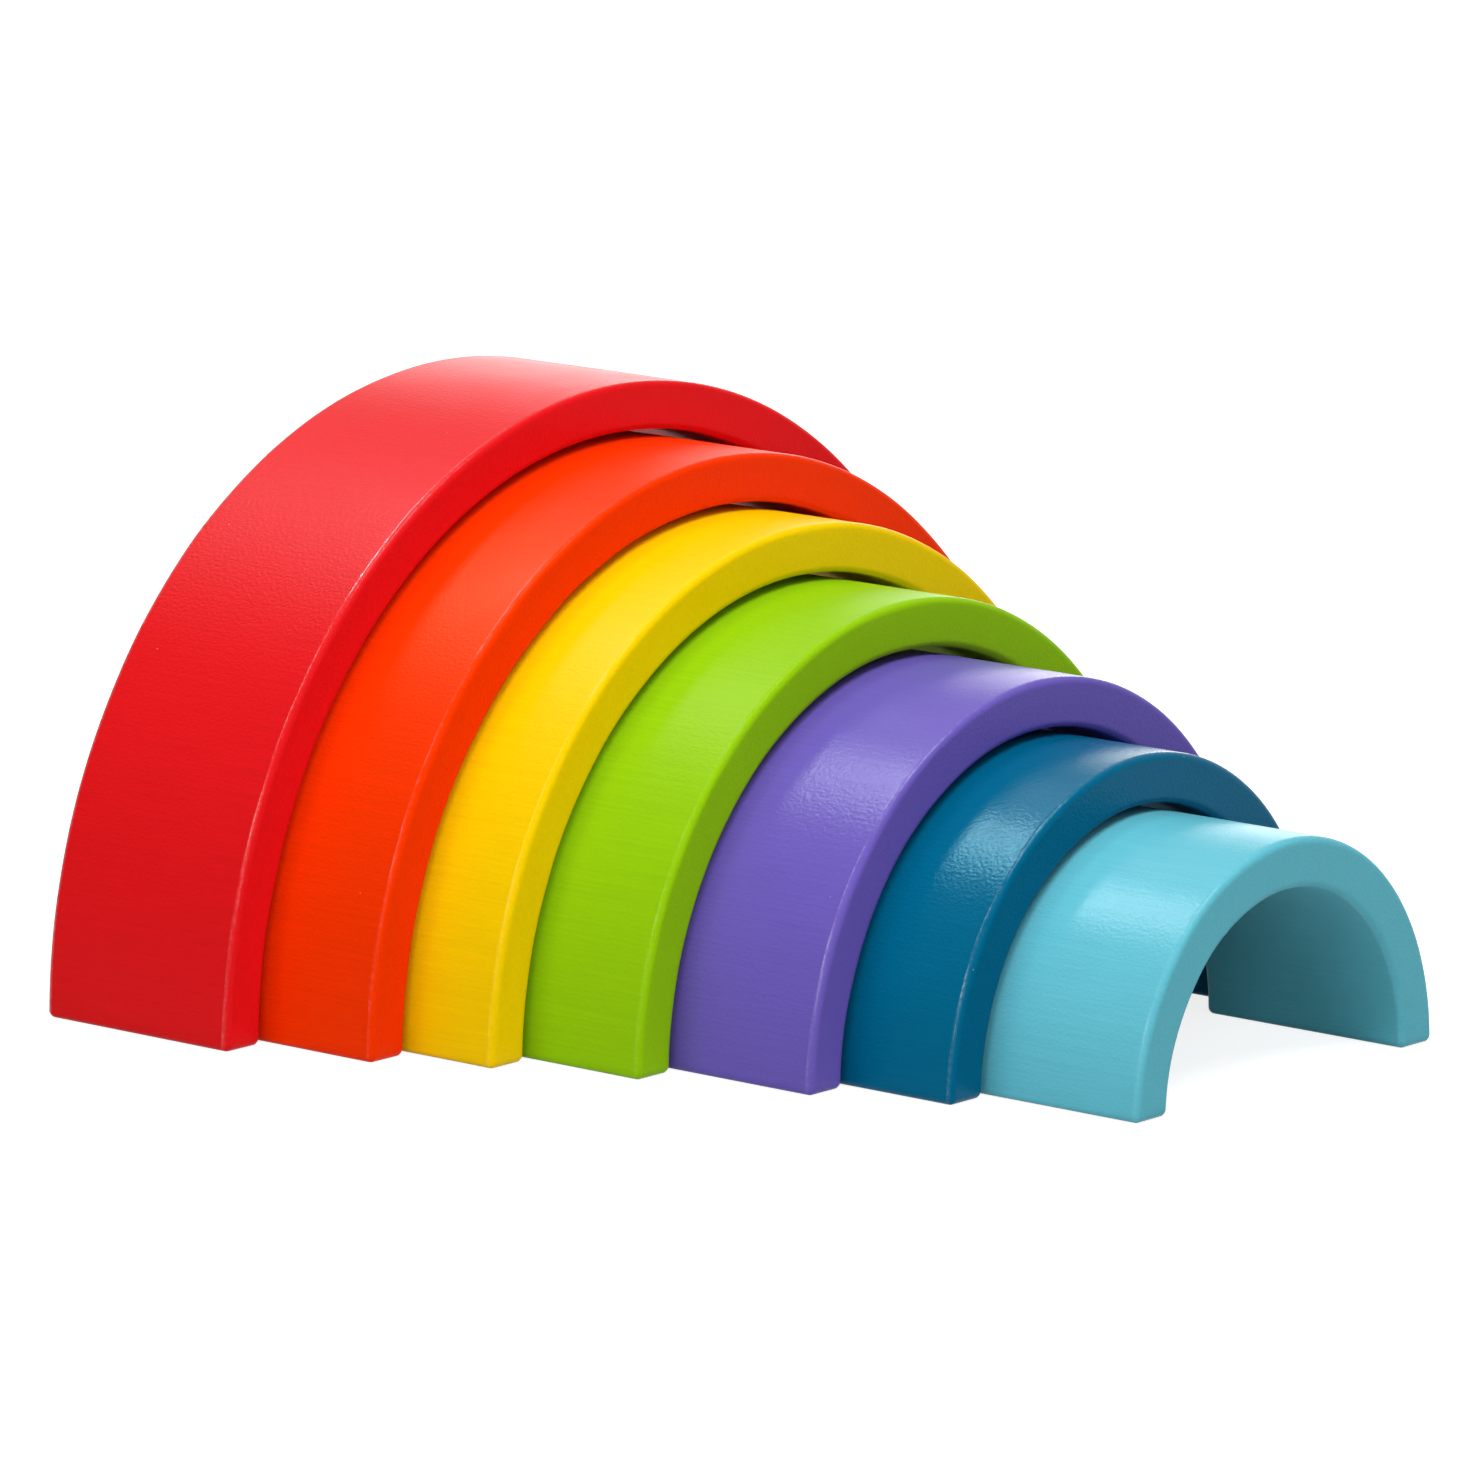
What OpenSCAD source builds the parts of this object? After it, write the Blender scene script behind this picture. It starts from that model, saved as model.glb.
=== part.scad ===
// Rainbow stacker: seven half-ring arches that nest in one another.
// Millimetres, +Z up. The origin is on the floor, below the middle of the spread-out set.
// Every arch's axis lies along Y at floor level, and the small arches stand to the front (-Y).

/* [Set] */
// Width of the largest arch across its feet
arch_w = 245; // [210:1:320]
// Depth of every arch, front to back
arch_d = 50; // [20:1:90]

/* [Wall] */
// Radial thickness of every arch
wall_t = 10.4; // [7:0.1:13]
// Radial clearance between an arch and the one around it
nest_gap = 1.7; // [0.8:0.1:3]
// Radius of the round-over along every edge
edge_r = 1.8; // [0.5:0.1:3]

/* [Spread] */
// How far the orange arch stands forward of the red one
orange_step = 28.2; // [0:0.1:50]
// How far the yellow arch stands forward of the orange one
yellow_step = 21.6; // [0:0.1:50]
// How far the green arch stands forward of the yellow one
green_step = 28.3; // [0:0.1:50]
// How far the purple arch stands forward of the green one
purple_step = 34.6; // [0:0.1:50]
// How far the teal arch stands forward of the purple one
teal_step = 26.1; // [0:0.1:50]
// How far the turquoise arch stands forward of the teal one
turquoise_step = 37.1; // [0:0.1:50]

/* [Hidden] */
$fn = 120;
// Facets of a full turn around an edge
edge_fn = 24;
// How far the soles' rounding starts outside the ring, as a share of the edge radius
ease_share = 0.02;
ease = edge_r * ease_share;
// Radius of the soles' lower edges
sole_r = edge_r + ease;
// Section of an arch inside its rounded edges
core_t = wall_t - edge_r * 2;
core_d = arch_d - edge_r * 2;
// Length by which a cutting shape runs past what it cuts
overrun = edge_r;
// Radius lost from one arch to the next
pitch = wall_t + nest_gap;
steps = [orange_step, yellow_step, green_step, purple_step, teal_step, turquoise_step];
// Distance from the red arch to arch number n, counted inwards from 0
function pulled(n) = n == 0 ? 0 : pulled(n - 1) + steps[n - 1];
set_d = arch_d + pulled(len(steps));
function outer_radius(n) = arch_w / 2 - n * pitch;
function back_y(n) = set_d / 2 - pulled(n);

// Ring section: the core rectangle with one edge radius all round it
module ring_section() {
    for (x = [0, core_t], y = [0, core_d])
        translate([x, y])
            circle(edge_r, $fn = edge_fn);
    square([core_t, core_d]);
    for (x = [-edge_r, core_t])
        translate([x, 0])
            square([edge_r, core_d]);
    for (y = [-edge_r, core_d])
        translate([0, y])
            square([core_t, edge_r]);
}

// Sole section: the core's depth with one sole radius all round it
module sole_section() {
    for (y = [0, core_d])
        translate([0, y])
            circle(sole_r, $fn = edge_fn);
    for (x = [-sole_r, 0])
        translate([x, 0])
            square([sole_r, core_d]);
}

// Round end of a sole, turned about the section's middle
module sole_end() {
    rotate_extrude(angle = 180, $fn = edge_fn)
        intersection() {
            sole_section();
            translate([0, -sole_r - overrun])
                square([sole_r + overrun, core_d + (sole_r + overrun) * 2]);
        }
}

// Sole with every edge rounded and ball corners, around a flat core at y = 0
module sole(flat_w) {
    rotate([0, 0, 90])
        sole_end();
    rotate([90, 0, 90])
        linear_extrude(flat_w)
            sole_section();
    translate([flat_w, 0, 0])
        rotate([0, 0, -90])
            sole_end();
}

// Space that a standing arch may fill: two soles on the floor and all the room above them
module stand(inner_r) {
    outer_r = inner_r + wall_t;
    // The soles reach just past the ring on every side, at the height where their rounding ends
    sole_x = sqrt(inner_r * inner_r - sole_r * sole_r) - ease + sole_r;
    flat_w = outer_r + ease - sole_r - sole_x;
    for (side = [0, 1])
        mirror([side, 0, 0])
            translate([sole_x, sole_r, edge_r])
                sole(flat_w);
    translate([-outer_r - overrun, sole_r, -overrun])
        cube([(outer_r + overrun) * 2, outer_r + overrun, arch_d + overrun * 2]);
}

// Half ring standing on its two feet, with its back at y = 0
module half_ring(inner_r) {
    rotate([90, 0, 0])
        intersection() {
            rotate_extrude()
                translate([inner_r, 0])
                    translate([edge_r, edge_r])
                        ring_section();
            stand(inner_r);
        }
}

module arch(n) {
    translate([0, back_y(n), 0])
        half_ring(outer_radius(n) - wall_t);
}

module red_arch() color([0.85, 0.08, 0.09]) arch(0);
module orange_arch() color([0.95, 0.2, 0.03]) arch(1);
module yellow_arch() color([0.92, 0.74, 0.03]) arch(2);
module green_arch() color([0.52, 0.73, 0.07]) arch(3);
module purple_arch() color([0.4, 0.34, 0.68]) arch(4);
module teal_arch() color([0.0, 0.36, 0.5]) arch(5);
module turquoise_arch() color([0.38, 0.73, 0.8]) arch(6);

red_arch();
orange_arch();
yellow_arch();
green_arch();
purple_arch();
teal_arch();
turquoise_arch();
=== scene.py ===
import math

import bpy
from mathutils import Matrix, Vector, noise


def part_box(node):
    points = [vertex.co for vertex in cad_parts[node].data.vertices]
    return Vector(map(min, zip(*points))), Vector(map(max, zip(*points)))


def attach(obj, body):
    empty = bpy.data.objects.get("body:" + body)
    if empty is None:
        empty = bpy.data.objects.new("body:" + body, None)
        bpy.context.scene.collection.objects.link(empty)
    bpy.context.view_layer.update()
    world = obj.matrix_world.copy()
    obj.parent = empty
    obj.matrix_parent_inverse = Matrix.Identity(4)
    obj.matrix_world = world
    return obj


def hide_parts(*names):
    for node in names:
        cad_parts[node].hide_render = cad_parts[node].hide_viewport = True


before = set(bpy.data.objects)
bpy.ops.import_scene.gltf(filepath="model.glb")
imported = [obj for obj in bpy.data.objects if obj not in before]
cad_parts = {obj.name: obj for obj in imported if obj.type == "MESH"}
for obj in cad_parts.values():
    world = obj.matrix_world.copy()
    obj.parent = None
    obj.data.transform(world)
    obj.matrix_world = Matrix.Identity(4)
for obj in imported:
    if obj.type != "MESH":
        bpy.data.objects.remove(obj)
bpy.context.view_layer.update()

MM = 0.001
QUARTER = math.pi / 2

# Section of every arch: the wall of the CAD solids, and the edge radius that the photograph shows.
WALL = 10.4 * MM
EDGE_R = 1.5 * MM

# Mesh density: length of a row along the arc, rows across the flats, steps around an edge,
# and how far from an edge a flat gets a row of its own.
ROW_LENGTH = 2.5 * MM
DEPTH_ROWS = 16
WALL_ROWS = 3
EDGE_STEPS = 8
SUPPORT = 0.35 * MM
# Rows above each foot over which level rows turn into radial ones.
FOOT_BLEND_ROWS = 6

# Hand-sanded unevenness: the edge radius along the arc, and slow waves in the faces.
EDGE_VARIATION = 0.16
EDGE_WAVE = 17 * MM
FACE_SWELL = 0.06 * MM
FACE_WAVE = 24 * MM
# How far apart in the noise the edges of an arch lie, and one arch and the next.
EDGE_OFFSET, EDGE_ARCH_OFFSET, FACE_ARCH_OFFSET = 7.3, 3.1, 5.7

# Where the polish of an edge is full, where it ends and over which turn it fades, from the curved side. The
# edges' paler band, partly abrasion and partly a painted highlight, follows the same strip.
GLOSS_FULL = math.radians(8)
GLOSS_END = math.radians(38)
GLOSS_FADE = math.radians(22)

# Room between the islands of the texture map, and the most bands it is cut into along the arc.
MAP_MARGIN = 1.5 * MM
MOST_BANDS = 4

# Paints, from the largest arch to the smallest: linear RGB, roughness, and gloss of the edges.
PAINTS = {
    "red": ((0.710, 0.0070, 0.0095), 0.34, 1.00),
    "orange": ((0.850, 0.0320, 0.0004), 0.42, 0.35),
    "yellow": ((0.865, 0.5600, 0.0010), 0.40, 0.35),
    "green": ((0.263, 0.5280, 0.0042), 0.38, 0.25),
    "purple": ((0.139, 0.0970, 0.4400), 0.245, 1.00),
    "teal": ((0.0002, 0.1140, 0.2240), 0.24, 0.90),
    "turquoise": ((0.117, 0.4770, 0.5800), 0.245, 0.45),
}
ROUGHNESS_VARIATION = 0.06
# Roughness of the hollow side, which is sanded less.
HOLLOW_ROUGHNESS = 0.50

# Sizes of the paint's patterns along the arc, across the depth and through the wall.
STREAK_CELL = (0.5 * MM, 26 * MM, 0.5 * MM)
CLOUD_CELL = (14 * MM, 14 * MM, 14 * MM)
PEEL_CELL = (0.6 * MM, 0.85 * MM, 0.6 * MM)
NICK_CELL = (0.9 * MM, 0.9 * MM, 0.9 * MM)
SPECK_CELL = (9 * MM, 9 * MM, 9 * MM)
# Detail of the noise, and of the orange peel's.
DETAIL, PEEL_DETAIL = 2.0, 1.5
BUMP_HEIGHT = 0.075 * MM
# Relief of the streaks and of the edges' nicks, as shares of the orange peel's.
STREAK_RELIEF, NICK_RELIEF = 0.25, 0.4
# Tone: the clouds' share beside the streaks, the tone's range, and the shades of the colour at its ends.
CLOUD_SHARE = 0.3
TONE_LOW, TONE_HIGH = 0.15, 1.15
DEEP_SHADE, LIGHT_SHADE = 0.92, 1.08
# Primer that shows through where paint is flecked, and along the edges, where the paler band is partly
# abrasion and partly a painted highlight: how pale it is, and its share.
PRIMER, PRIMER_SHARE = 0.9, 0.28
# Paler edges: where in the nicks' range the band starts and ends, and its greatest share of primer. The band
# is partly abrasion and partly a painted highlight line along the edges.
RUBBED_HIGHLIGHT_FROM, RUBBED_HIGHLIGHT_TO, RUBBED_HIGHLIGHT = 0.45, 0.68, 0.08
# Flecks: their radii as shares of a speck cell, how strong they are, and which cells have one.
FLECK_CORE, FLECK_RIM, FLECK = 0.012, 0.026, 0.55
FLECKED_FROM, FLECKED_TO = 0.50, 0.52
# Parts of the clouds' and nicks' range over which gloss changes, and the gloss left at a nick.
SHEEN_LOW, SHEEN_HIGH = 0.3, 0.7
BROKEN_LOW, BROKEN_HIGH, BROKEN_SHARE = 0.35, 0.65, 0.25
# Index of refraction of the paint, and the tint of its reflections, which four of the paints colour.
REFLECTION = (1.13, (1, 1, 1))
OWN_REFLECTIONS = {
    "orange": (1.15, (1, 1, 0)),
    "yellow": (1.13, (1, 1, 0.1)),
    "green": (1.13, (1, 1, 0)),
    "teal": (1.17, (0.12, 1, 1)),
}
EDGE_COAT_IOR = 1.5
EDGE_COAT_ROUGHNESS = 0.08

# Camera: the photograph's viewpoint, in the frame of the part.
CAMERA_AT = (-1.6357, -1.3042, 0.4684)
CAMERA_AZIMUTH = -50.7991
CAMERA_ELEVATION = 11.1803
CAMERA_ROLL = 0.5776
CAMERA_LENS = 251.345
SENSOR = 36.0
CAMERA_SIGHT = 50

# Softboxes: direction from the middle of the set, distance, width and height, and power.
MIDDLE = (0, -0.02, 0.05)
SOFTBOXES = {
    "overhead": ((-0.05, -0.30, 0.95), 1.3, (0.90, 0.90), 15.5),
    "strip_high": ((-0.25, 0.33, 0.91), 1.1, (0.30, 0.16), 0.8),
    "strip_mid": ((-0.62, 0.27, 0.73), 1.1, (0.14, 0.45), 1.1),
    "left": ((-0.90, 0.18, 0.46), 2.4, (0.60, 0.60), 5.5),
    "left_front": ((-0.92, -0.20, 0.31), 1.05, (0.45, 0.45), 1.6),
    "front": ((-0.25, -0.80, 0.55), 4.0, (1.80, 1.80), 17.0),
    "camera_side": ((-0.76, -0.62, 0.20), 4.0, (1.80, 1.80), 24.0),
    "back_right": ((0.76, 0.62, 0.22), 2.5, (1.20, 1.20), 8.0),
    "key": ((-0.10, 0.585, 0.88), 1.065, (0.46, 0.11), 7.2),
    "behind_wide": ((0.10, 0.66, 0.74), 2.5, (2.00, 1.00), 11.0),
}
# Softboxes behind the set, which only make its highlights.
HIGHLIGHTS = ("key", "behind_wide")
# Softboxes whose light isn't white.
TINTS = {"key": (0.85, 0.93, 1.0)}

# Floor: its reach, its own colour, and the glow that makes it white to the eye.
FLOOR_REACH = 12.0
PAPER = 0.55
NEAR_GLOW, NEAR = 0.82, 0.25
FAR_GLOW, FAR = 1.0, 0.8
AMBIENT = 0.03

OUTWARD = ((1, 0), (0, 1), (-1, 0), (0, -1))


def section_outline(inner_r, outer_r, front, back):
    """The section's four edges, and its outline once round from the outer front edge.

    An edge is (radius, depth, sign, sign). A point of the outline is (edge before, edge after,
    share of the way, outward direction, edge mask, distance along the outline)."""
    edges = [
        (outer_r, front, 1, -1),
        (outer_r, back, 1, 1),
        (inner_r, back, -1, 1),
        (inner_r, front, -1, -1),
    ]
    outline = []
    walked = 0.0
    for side, out in enumerate(OUTWARD):
        after = (side + 1) % len(edges)
        length = sum(abs(q - p) for p, q in zip(edges[side][:2], edges[after][:2])) - 2 * EDGE_R
        rows = DEPTH_ROWS if side % 2 == 0 else WALL_ROWS
        near = SUPPORT / length
        for share in [0.0, near] + [i / rows for i in range(1, rows)] + [1 - near, 1.0]:
            outline.append((side, after, share, out, 0.0, walked + length * share))
        walked += length
        turn = math.atan2(out[1], out[0])
        for step in range(1, EDGE_STEPS):
            a = QUARTER * step / EDGE_STEPS
            direction = (math.cos(turn + a), math.sin(turn + a))
            from_curve = a if side % 2 == 0 else QUARTER - a
            gloss = max(0.0, min(1.0, from_curve / GLOSS_FULL, (GLOSS_END - from_curve) / GLOSS_FADE))
            outline.append((after, after, 0.0, direction, gloss, walked + EDGE_R * a))
        walked += EDGE_R * QUARTER
    return edges, outline, walked


def uneven(*place):
    return noise.noise(Vector(place))


class ArchMesh:
    """Vertices and faces of one arch, swept along its half circle and turned in under its feet."""

    def __init__(self, node, number):
        low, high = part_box(node)
        self.number = number
        self.outer_r = high.z
        self.inner_r = self.outer_r - WALL
        self.mid_r = (self.inner_r + self.outer_r) / 2
        self.edges, self.outline, self.girth = section_outline(self.inner_r, self.outer_r, low.y, high.y)
        self.verts, self.surface, self.edge = [], [], []
        self.faces, self.map = [], []
        self.sweep()

    def ring(self, angle, level, foot):
        """One loop of vertices at an angle from the right foot.

        level makes the loop horizontal instead of radial. foot turns it in under the sole,
        from 0 above the rounding to a quarter turn on the floor."""
        first = len(self.verts)
        swept = math.cos(foot)
        arc = angle * self.mid_r
        left = angle > QUARTER
        rise = math.pi - angle if left else angle
        radii = []
        for k in range(len(self.edges)):
            wave = uneven(arc / EDGE_WAVE, k * EDGE_OFFSET, self.number * EDGE_ARCH_OFFSET)
            radii.append(EDGE_R * (1 + EDGE_VARIATION * wave * swept))
        centres = [(u - su * r, y - sy * r) for (u, y, su, sy), r in zip(self.edges, radii)]
        for before, after, share, out, mask, walked in self.outline:
            u = centres[before][0] + (centres[after][0] - centres[before][0]) * share
            y = centres[before][1] + (centres[after][1] - centres[before][1]) * share
            radius = radii[before] + (radii[after] - radii[before]) * share
            depth = u / FACE_WAVE + self.number * FACE_ARCH_OFFSET
            swell = FACE_SWELL * uneven(arc / FACE_WAVE, y / FACE_WAVE, depth)
            u += out[0] * (radius + swell) * swept
            y += out[1] * (radius + swell) * swept
            flat = math.asin(min(1.0, self.mid_r * math.sin(rise) / u))
            turned = rise + (flat - rise) * level
            x = u * math.cos(turned)
            z = EDGE_R * (1 - math.sin(foot)) if foot else u * math.sin(turned)
            self.verts.append((-x if left else x, y, z))
            self.surface.append((arc, y, u))
            self.edge.append(mask * swept)
        return list(range(first, len(self.verts)))

    def sole_ring(self, angle):
        """The loop on the floor, where each rounded edge comes down to one point."""
        loop = self.ring(angle, 1.0, QUARTER)
        ends = [point[:3] for point in self.outline]
        corner = {}
        for i, (before, after, share) in enumerate(ends):
            if share == 0 and before != after:
                corner[before] = loop[i]
        for i, (before, after, share) in enumerate(ends):
            if before == after or share == 1.0:
                loop[i] = corner[after]
        return loop

    def sweep(self):
        """Loops from the right sole over the top to the left one, and the way walked along the outside."""
        lift = math.asin(EDGE_R / self.mid_r)
        span = math.pi - 2 * lift
        far = lift + span
        count = round(self.mid_r * span / ROW_LENGTH)
        turns = [QUARTER * step / EDGE_STEPS for step in range(EDGE_STEPS - 1, 0, -1)]
        loops = [self.sole_ring(lift)] + [self.ring(lift, 1.0, turn) for turn in turns]
        walked = [EDGE_R * (QUARTER - turn) for turn in [QUARTER] + turns]
        above = EDGE_R * QUARTER
        for i in range(count + 1):
            level = max(0.0, 1 - min(i, count - i) / FOOT_BLEND_ROWS)
            loops.append(self.ring(lift + span * i / count, level, 0.0))
            walked.append(above + self.outer_r * span * i / count)
        top = walked[-1]
        turns.reverse()
        loops += [self.ring(far, 1.0, turn) for turn in turns] + [self.sole_ring(far)]
        walked += [top + EDGE_R * turn for turn in turns + [QUARTER]]
        self.stitch(loops, walked)

    def stitch(self, loops, walked):
        """Faces between the loops and over the soles, with the texture map's coordinates."""
        pitch = self.girth + MAP_MARGIN
        sole_w = WALL - 2 * EDGE_R + MAP_MARGIN
        total = walked[-1]
        bands = min(range(1, MOST_BANDS + 1), key=lambda n: max(total / n + 2 * sole_w, n * pitch))
        band_rows = math.ceil((len(loops) - 1) / bands)
        starts = walked[: bands * band_rows : band_rows]
        ends = starts[1:] if bands > 1 else [total]
        size = max(end - start for start, end in zip(starts, ends))
        side = max(size + 2 * sole_w, bands * pitch) + 2 * MAP_MARGIN
        stops = [point[5] for point in self.outline] + [self.girth]
        points = len(self.outline)
        for row in range(len(loops) - 1):
            band = row // band_rows
            left = MAP_MARGIN - starts[band]
            low = MAP_MARGIN + band * pitch
            for i in range(points):
                j = (i + 1) % points
                face, spots = [], []
                for at, k, stop in ((row, i, i), (row, j, i + 1), (row + 1, j, i + 1), (row + 1, i, i)):
                    index = loops[at][k]
                    if index in face:
                        continue
                    face.append(index)
                    spots.append(((left + walked[at]) / side, (low + stops[stop]) / side))
                if len(face) > 2:
                    self.faces.append(face)
                    self.map += spots
        for foot, loop in enumerate((loops[0], loops[-1])):
            corner = (side - MAP_MARGIN - (foot + 1) * sole_w, MAP_MARGIN)
            self.sole(loop, corner, side, foot == 0)

    def sole(self, loop, corner, side, flip):
        """The flat under a foot, as a grid inside the loop on the floor."""
        outline = list(dict.fromkeys(loop))
        across, over = DEPTH_ROWS + 2, WALL_ROWS + 2
        front_to_back = outline[: across + 1]
        back = outline[across : across + over + 1]
        inner = outline[across + over : 2 * across + over + 1][::-1]
        front = (outline[2 * across + over :] + outline[:1])[::-1]
        grid = [[None] * (across + 1) for _ in range(over + 1)]
        grid[0], grid[over] = front_to_back, inner
        for i in range(over + 1):
            grid[i][0], grid[i][across] = front[i], back[i]
        for i in range(1, over):
            for j in range(1, across):
                a, b = grid[0][j], grid[over][j]
                ends = self.verts[grid[0][0]][0], self.verts[grid[over][0]][0]
                share = (self.verts[front[i]][0] - ends[0]) / (ends[1] - ends[0])
                grid[i][j] = len(self.verts)
                for values in (self.verts, self.surface):
                    values.append(tuple(p + (q - p) * share for p, q in zip(values[a], values[b])))
                self.edge.append(0.0)
        left, near, _ = self.verts[grid[0][0]]
        for i in range(over):
            for j in range(across):
                quad = [grid[i][j], grid[i][j + 1], grid[i + 1][j + 1], grid[i + 1][j]]
                if flip:
                    quad.reverse()
                self.faces.append(quad)
                for index in quad:
                    x, y, _ = self.verts[index]
                    self.map.append(((corner[0] + abs(x - left)) / side, (corner[1] + abs(y - near)) / side))

    def piece(self, name):
        """The arch as an object, without the vertices that no face uses."""
        used = sorted({index for face in self.faces for index in face})
        new = {old: i for i, old in enumerate(used)}
        mesh = bpy.data.meshes.new(name)
        mesh.from_pydata([self.verts[i] for i in used], [], [[new[i] for i in face] for face in self.faces])
        mesh.attributes.new("surface", "FLOAT_VECTOR", "POINT")
        mesh.attributes.new("edge", "FLOAT", "POINT")
        mesh.attributes["surface"].data.foreach_set("vector", [c for i in used for c in self.surface[i]])
        mesh.attributes["edge"].data.foreach_set("value", [self.edge[i] for i in used])
        mesh.uv_layers.new(name="OFBake")
        mesh.uv_layers["OFBake"].data.foreach_set("uv", [c for spot in self.map for c in spot])
        mesh.polygons.foreach_set("use_smooth", [True] * len(mesh.polygons))
        mesh.update()
        piece = bpy.data.objects.new(name, mesh)
        bpy.context.scene.collection.objects.link(piece)
        return piece


def link(tree, source, output, target, socket):
    tree.links.new(source.outputs[output], target.inputs[socket])


def pattern(tree, kind, place, cell, **settings):
    """A texture over the surface coordinates, with the given cell size."""
    scale = tree.nodes.new("ShaderNodeVectorMath")
    scale.operation = "DIVIDE"
    link(tree, place, "Vector", scale, 0)
    scale.inputs[1].default_value = cell
    texture = tree.nodes.new(kind)
    texture.inputs["Scale"].default_value = 1.0
    for name, value in settings.items():
        texture.inputs[name].default_value = value
    link(tree, scale, "Vector", texture, "Vector")
    return texture


def ranged(tree, source, output, low, high, to_low, to_high, smooth=False):
    """A node's output carried from one range to another, straight on past its ends or in a smooth step."""
    node = tree.nodes.new("ShaderNodeMapRange")
    if smooth:
        node.interpolation_type = "SMOOTHSTEP"
    else:
        node.clamp = False
    link(tree, source, output, node, "Value")
    node.inputs["From Min"].default_value = low
    node.inputs["From Max"].default_value = high
    node.inputs["To Min"].default_value = to_low
    node.inputs["To Max"].default_value = to_high
    return node


def combine(tree, operation, first, second):
    """A math node over two (node, output) pairs, or a pair and a number."""
    node = tree.nodes.new("ShaderNodeMath")
    node.operation = operation
    for i, value in enumerate((first, second)):
        if isinstance(value, tuple):
            link(tree, value[0], value[1], node, i)
        else:
            node.inputs[i].default_value = value
    return node


def blend(tree, factor, output, first, second):
    """A colour mix by a node's output. first is a node with a Result, or a colour; second is a colour."""
    node = tree.nodes.new("ShaderNodeMix")
    node.data_type = "RGBA"
    link(tree, factor, output, node, "Factor")
    if isinstance(first, tuple):
        node.inputs["A"].default_value = (*first, 1)
    else:
        tree.links.new(first.outputs["Result"], node.inputs["A"])
    node.inputs["B"].default_value = (*second, 1)
    return node


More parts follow.
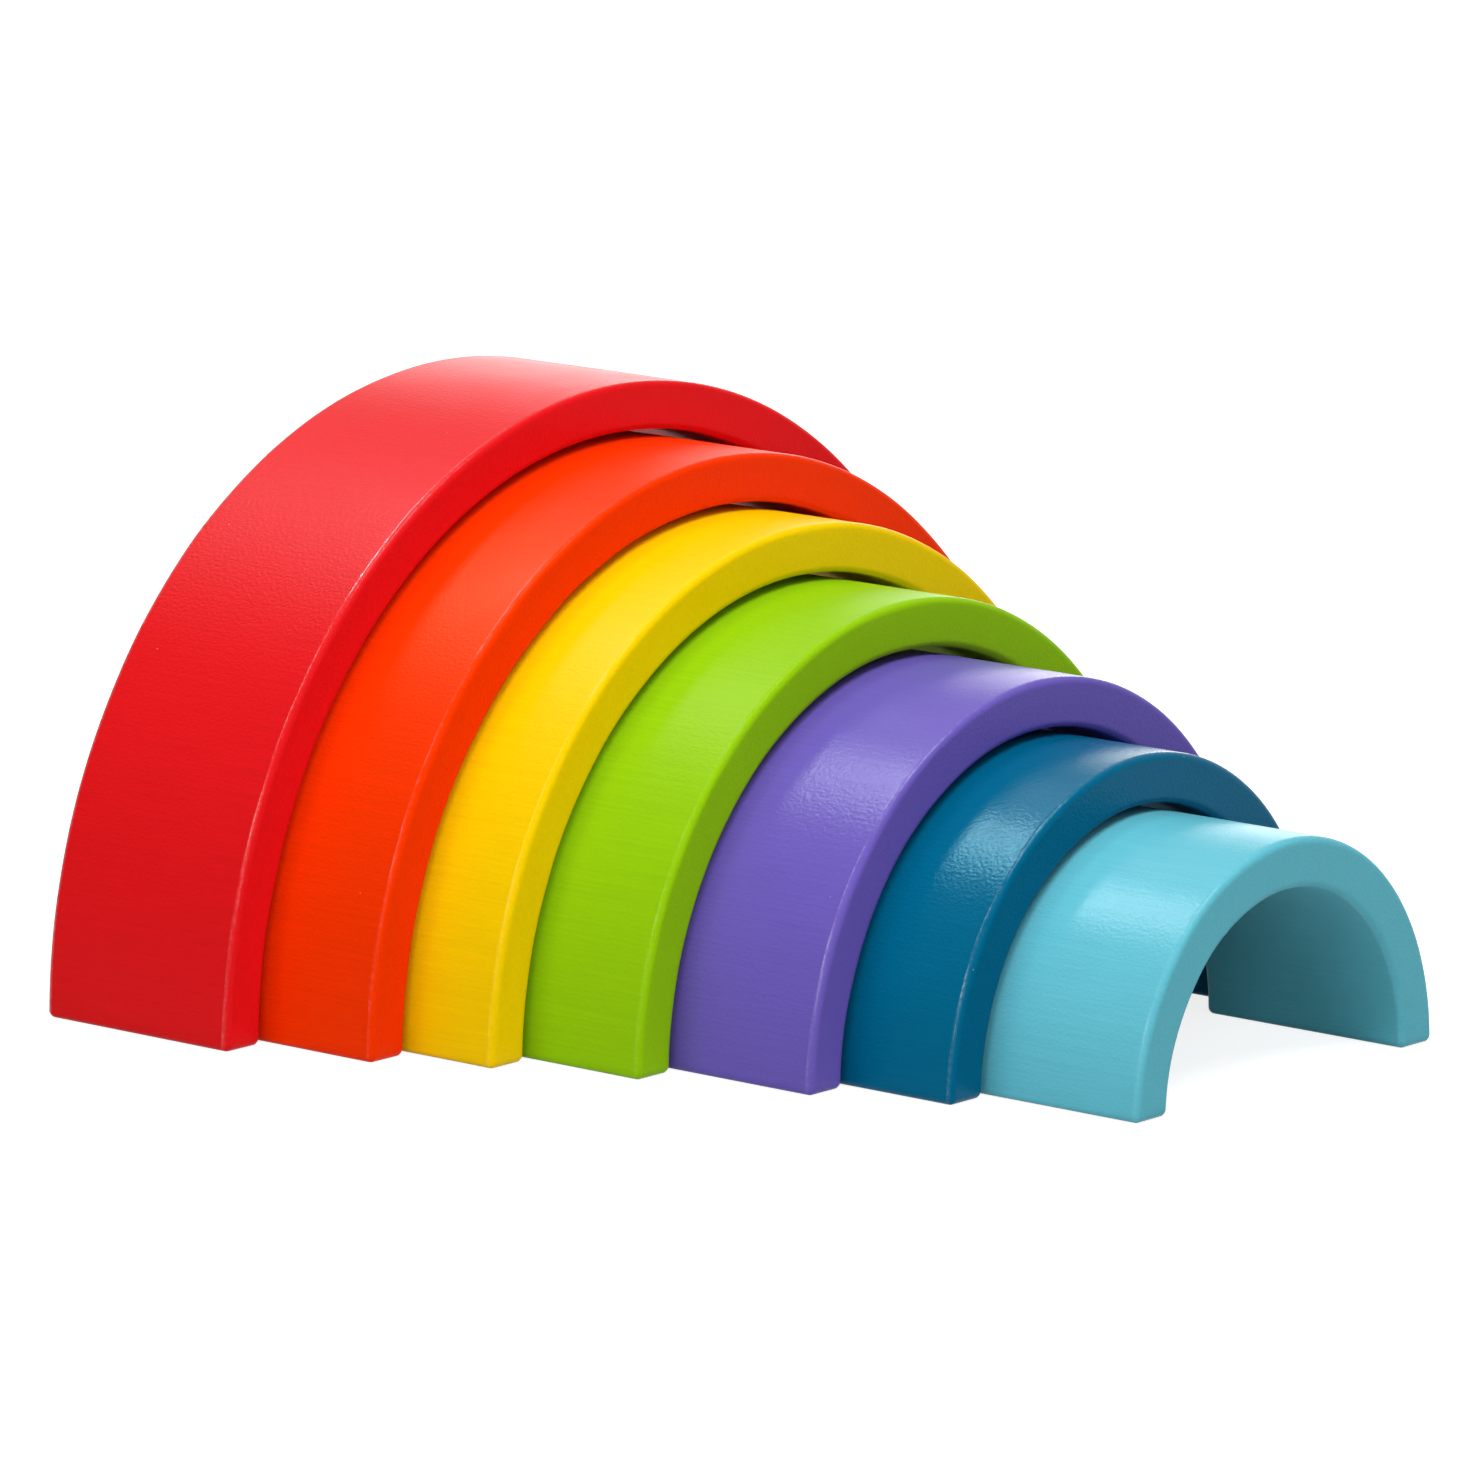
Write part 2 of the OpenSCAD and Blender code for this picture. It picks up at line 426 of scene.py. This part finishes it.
def paint_material(colour, rgb, roughness, edge_gloss, inner_r):
    """Satin paint with brush streaks, flecks, orange peel, a duller hollow side, polished edges, and a paler
    band on the edges that is partly abrasion and partly a painted highlight.
    """
    material = bpy.data.materials.new(f"{colour}_satin_paint")
    material.use_nodes = True
    tree = material.node_tree
    shader = tree.nodes["Principled BSDF"]
    place = tree.nodes.new("ShaderNodeAttribute")
    place.attribute_name = "surface"
    edge = tree.nodes.new("ShaderNodeAttribute")
    edge.attribute_name = "edge"

    streaks = pattern(tree, "ShaderNodeTexNoise", place, STREAK_CELL, Detail=DETAIL)
    clouds = pattern(tree, "ShaderNodeTexNoise", place, CLOUD_CELL, Detail=DETAIL)
    peel = pattern(tree, "ShaderNodeTexNoise", place, PEEL_CELL, Detail=PEEL_DETAIL)
    nicks = pattern(tree, "ShaderNodeTexNoise", place, NICK_CELL, Detail=DETAIL)
    specks = pattern(tree, "ShaderNodeTexVoronoi", place, SPECK_CELL)

    drift = combine(tree, "MULTIPLY", (clouds, "Fac"), CLOUD_SHARE)
    tone = combine(tree, "ADD", (streaks, "Fac"), (drift, "Value"))
    shade = ranged(tree, tone, "Value", TONE_LOW, TONE_HIGH, 0.0, 1.0)
    deep = tuple(c * DEEP_SHADE for c in rgb)
    light = tuple(min(1.0, c * LIGHT_SHADE) for c in rgb)
    base = blend(tree, shade, "Result", deep, light)
    pale = tuple((1 - PRIMER_SHARE) * c + PRIMER_SHARE * PRIMER for c in rgb)
    # Edges go paler towards the primer where nicks fall: partly abrasion, partly a painted highlight along
    # the polished strip.
    rubbed_highlight = ranged(tree, nicks, "Fac", RUBBED_HIGHLIGHT_FROM, RUBBED_HIGHLIGHT_TO, 0.0, RUBBED_HIGHLIGHT, smooth=True)
    wear_and_highlight = combine(tree, "MULTIPLY", (edge, "Fac"), (rubbed_highlight, "Result"))
    worn_and_highlit = blend(tree, wear_and_highlight, "Value", base, pale)
    dots = ranged(tree, specks, "Distance", FLECK_CORE, FLECK_RIM, FLECK, 0.0, smooth=True)
    some = ranged(tree, specks, "Color", FLECKED_FROM, FLECKED_TO, 0.0, 1.0, smooth=True)
    fleck = combine(tree, "MULTIPLY", (dots, "Result"), (some, "Result"))
    final = blend(tree, fleck, "Value", worn_and_highlit, pale)
    link(tree, final, "Result", shader, "Base Color")

    smoother, rougher = roughness * (1 - ROUGHNESS_VARIATION), roughness * (1 + ROUGHNESS_VARIATION)
    sheen = ranged(tree, clouds, "Fac", SHEEN_LOW, SHEEN_HIGH, smoother, rougher)
    parts = tree.nodes.new("ShaderNodeSeparateXYZ")
    link(tree, place, "Vector", parts, 0)
    hollow = ranged(tree, parts, "Z", inner_r, inner_r + EDGE_R, HOLLOW_ROUGHNESS, 0.0, smooth=True)
    dull = combine(tree, "MAXIMUM", (sheen, "Result"), (hollow, "Result"))
    link(tree, dull, "Value", shader, "Roughness")
    ior, tint = OWN_REFLECTIONS.get(colour, REFLECTION)
    shader.inputs["IOR"].default_value = ior
    shader.inputs["Specular Tint"].default_value = (*tint, 1)
    broken = ranged(tree, nicks, "Fac", BROKEN_LOW, BROKEN_HIGH, BROKEN_SHARE * edge_gloss, edge_gloss)
    polish = combine(tree, "MULTIPLY", (edge, "Fac"), (broken, "Result"))
    link(tree, polish, "Value", shader, "Coat Weight")
    shader.inputs["Coat IOR"].default_value = EDGE_COAT_IOR
    shader.inputs["Coat Roughness"].default_value = EDGE_COAT_ROUGHNESS

    fine = combine(tree, "MULTIPLY", (streaks, "Fac"), STREAK_RELIEF)
    skin = combine(tree, "ADD", (peel, "Fac"), (fine, "Value"))
    dented = combine(tree, "MULTIPLY", (nicks, "Fac"), NICK_RELIEF)
    rough = combine(tree, "MULTIPLY", (dented, "Value"), (edge, "Fac"))
    height = combine(tree, "ADD", (skin, "Value"), (rough, "Value"))
    bump = tree.nodes.new("ShaderNodeBump")
    bump.inputs["Distance"].default_value = BUMP_HEIGHT
    link(tree, height, "Value", bump, "Height")
    link(tree, bump, "Normal", shader, "Normal")
    return material


def seen_directly(tree):
    """1 for camera, mirror and see-through rays, which meet the white background, 0 for the rest."""
    path = tree.nodes.new("ShaderNodeLightPath")
    first = combine(tree, "MAXIMUM", (path, "Is Camera Ray"), (path, "Is Glossy Ray"))
    return combine(tree, "MAXIMUM", (first, "Value"), (path, "Is Transmission Ray"))


def build_floor():
    """White paper under the set, which keeps its shadow."""
    corners = [(-1, -1), (1, -1), (1, 1), (-1, 1)]
    mesh = bpy.data.meshes.new("floor")
    mesh.from_pydata([(x * FLOOR_REACH, y * FLOOR_REACH, 0) for x, y in corners], [], [(0, 1, 2, 3)])
    floor = bpy.data.objects.new("floor", mesh)
    bpy.context.scene.collection.objects.link(floor)
    material = bpy.data.materials.new("white_paper")
    material.use_nodes = True
    tree = material.node_tree
    tree.nodes.clear()
    out = tree.nodes.new("ShaderNodeOutputMaterial")
    both = tree.nodes.new("ShaderNodeAddShader")
    paper = tree.nodes.new("ShaderNodeBsdfDiffuse")
    paper.inputs["Color"].default_value = (PAPER, PAPER, PAPER, 1)
    glow = tree.nodes.new("ShaderNodeEmission")
    spot = tree.nodes.new("ShaderNodeTexCoord")
    away = tree.nodes.new("ShaderNodeVectorMath")
    away.operation = "LENGTH"
    link(tree, spot, "Object", away, 0)
    fade = ranged(tree, away, "Value", NEAR, FAR, NEAR_GLOW, FAR_GLOW, smooth=True)
    strength = combine(tree, "MULTIPLY", (fade, "Result"), (seen_directly(tree), "Value"))
    link(tree, strength, "Value", glow, "Strength")
    link(tree, paper, "BSDF", both, 0)
    link(tree, glow, "Emission", both, 1)
    link(tree, both, "Shader", out, "Surface")
    mesh.materials.append(material)


def build_world():
    """A white surround to the eye and in reflections, which lights the set only a little."""
    world = bpy.data.worlds.new("studio")
    bpy.context.scene.world = world
    world.use_nodes = True
    tree = world.node_tree
    sky = tree.nodes["Background"]
    sky.inputs["Color"].default_value = (1, 1, 1, 1)
    white = ranged(tree, seen_directly(tree), "Value", 0, 1, AMBIENT, 1.0)
    link(tree, white, "Result", sky, "Strength")


def build_softbox(name, direction, distance, size, watts):
    data = bpy.data.lights.new(name, "AREA")
    data.shape = "ELLIPSE"
    data.size, data.size_y = size
    data.energy = watts
    data.color = TINTS.get(name, (1, 1, 1))
    lamp = bpy.data.objects.new(name, data)
    toward = Vector(direction).normalized()
    lamp.location = Vector(MIDDLE) + toward * distance
    lamp.rotation_euler = toward.to_track_quat("Z", "Y").to_euler()
    lamp.visible_camera = False
    lamp.visible_diffuse = name not in HIGHLIGHTS
    bpy.context.scene.collection.objects.link(lamp)


def build_camera():
    data = bpy.data.cameras.new("camera")
    data.lens = CAMERA_LENS
    data.sensor_width = SENSOR
    data.sensor_fit = "HORIZONTAL"
    data.clip_end = CAMERA_SIGHT
    camera = bpy.data.objects.new("camera", data)
    azimuth = math.radians(CAMERA_AZIMUTH)
    elevation = math.radians(CAMERA_ELEVATION)
    roll = math.radians(CAMERA_ROLL)
    level = Vector((math.cos(azimuth), math.sin(azimuth), 0))
    ahead = Vector((-math.sin(azimuth), math.cos(azimuth), 0))
    back = Vector((0, 0, math.sin(elevation))) - ahead * math.cos(elevation)
    upright = back.cross(level)
    right = level * math.cos(roll) + upright * math.sin(roll)
    up = upright * math.cos(roll) - level * math.sin(roll)
    turn = Matrix((right, up, back)).transposed().to_4x4()
    camera.matrix_world = Matrix.Translation(CAMERA_AT) @ turn
    bpy.context.scene.collection.objects.link(camera)
    bpy.context.scene.camera = camera


for number, (colour, (rgb, roughness, edge_gloss)) in enumerate(PAINTS.items()):
    node = f"{colour}_arch"
    arch = ArchMesh(node, number)
    piece = arch.piece(f"{colour}_painted_arch")
    piece.data.materials.append(paint_material(colour, rgb, roughness, edge_gloss, arch.inner_r))
    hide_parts(node)
    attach(piece, node)

build_floor()
build_world()
build_camera()
for name, (direction, distance, size, watts) in SOFTBOXES.items():
    build_softbox(name, direction, distance, size, watts)

bpy.context.scene.view_settings.view_transform = "Standard"
